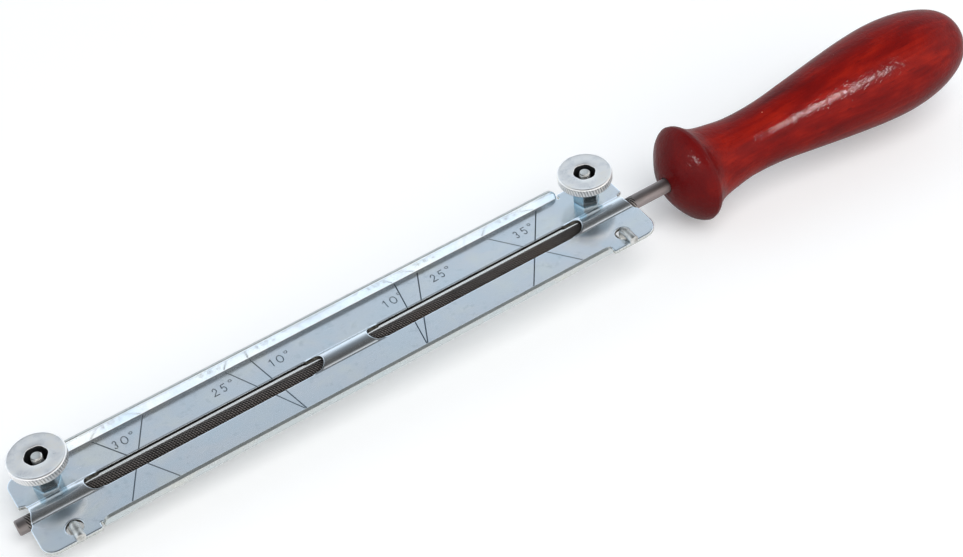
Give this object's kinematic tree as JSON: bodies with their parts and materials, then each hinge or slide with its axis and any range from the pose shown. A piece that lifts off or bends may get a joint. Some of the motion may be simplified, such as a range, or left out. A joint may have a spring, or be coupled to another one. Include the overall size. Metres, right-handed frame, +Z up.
{
  "type": "chainsaw file guide",
  "caption": "Pressed sheet guide that holds a round saw-chain file in a channel with bent wire hooks and knurled thumb wheels, on a turned wooden handle.",
  "frame": {"origin": "on the file's axis, at the middle of the overall length", "axes": "+X along the file towards the handle, +Y towards the thumb wheels, +Z up out of the guide's marked face"},
  "size_m": [0.3474, 0.0348, 0.033],
  "materials": {
    "zinc_sheet": "bright bluish zinc plate on pressed steel sheet",
    "file_steel": "dark hardened steel with cut teeth",
    "lacquered_wood": "dark red gloss lacquer on turned wood",
    "plated_wire": "zinc-plated steel wire",
    "plated_steel": "zinc-plated steel, knurled at the rim"
  },
  "bodies": {
    "guide": {"guide_plate": "zinc_sheet"},
    "file_and_handle": {"round_file": "file_steel", "handle": "lacquered_wood"},
    "front_hook": {"hook_bolt_front": "plated_wire"},
    "rear_hook": {"hook_bolt_rear": "plated_wire"},
    "front_wheel": {"thumb_wheel_front": "plated_steel", "hex_nut_front": "plated_steel"},
    "rear_wheel": {"thumb_wheel_rear": "plated_steel", "hex_nut_rear": "plated_steel"}
  },
  "joints": [
    {"name": "file_turn", "type": "hinge", "parent": "guide", "child": "file_and_handle", "pos_m": [0, 0, 0], "axis": [1, 0, 0], "continuous": true},
    {"name": "front_wheel_turn", "type": "hinge", "parent": "guide", "child": "front_wheel", "pos_m": [-0.1602, 0.0087, 0.0023], "axis": [0, 0, 1], "range_deg": [0, 360]},
    {"name": "rear_wheel_turn", "type": "hinge", "parent": "guide", "child": "rear_wheel", "pos_m": [0.0268, 0.0087, 0.0023], "axis": [0, 0, 1], "range_deg": [0, 360]},
    {"name": "front_hook_rock", "type": "hinge", "parent": "guide", "child": "front_hook", "pos_m": [-0.1602, -0.0138, 0.0023], "axis": [1, 0, 0], "range_deg": [-2.1, 0]},
    {"name": "rear_hook_rock", "type": "hinge", "parent": "guide", "child": "rear_hook", "pos_m": [0.0268, -0.0138, 0.0023], "axis": [1, 0, 0], "range_deg": [-2.1, 0]}
  ],
  "couplings": [
    {"joint": "front_hook_rock", "follows": "front_wheel_turn", "ratio": -0.005616},
    {"joint": "rear_hook_rock", "follows": "rear_wheel_turn", "ratio": -0.005616}
  ]
}
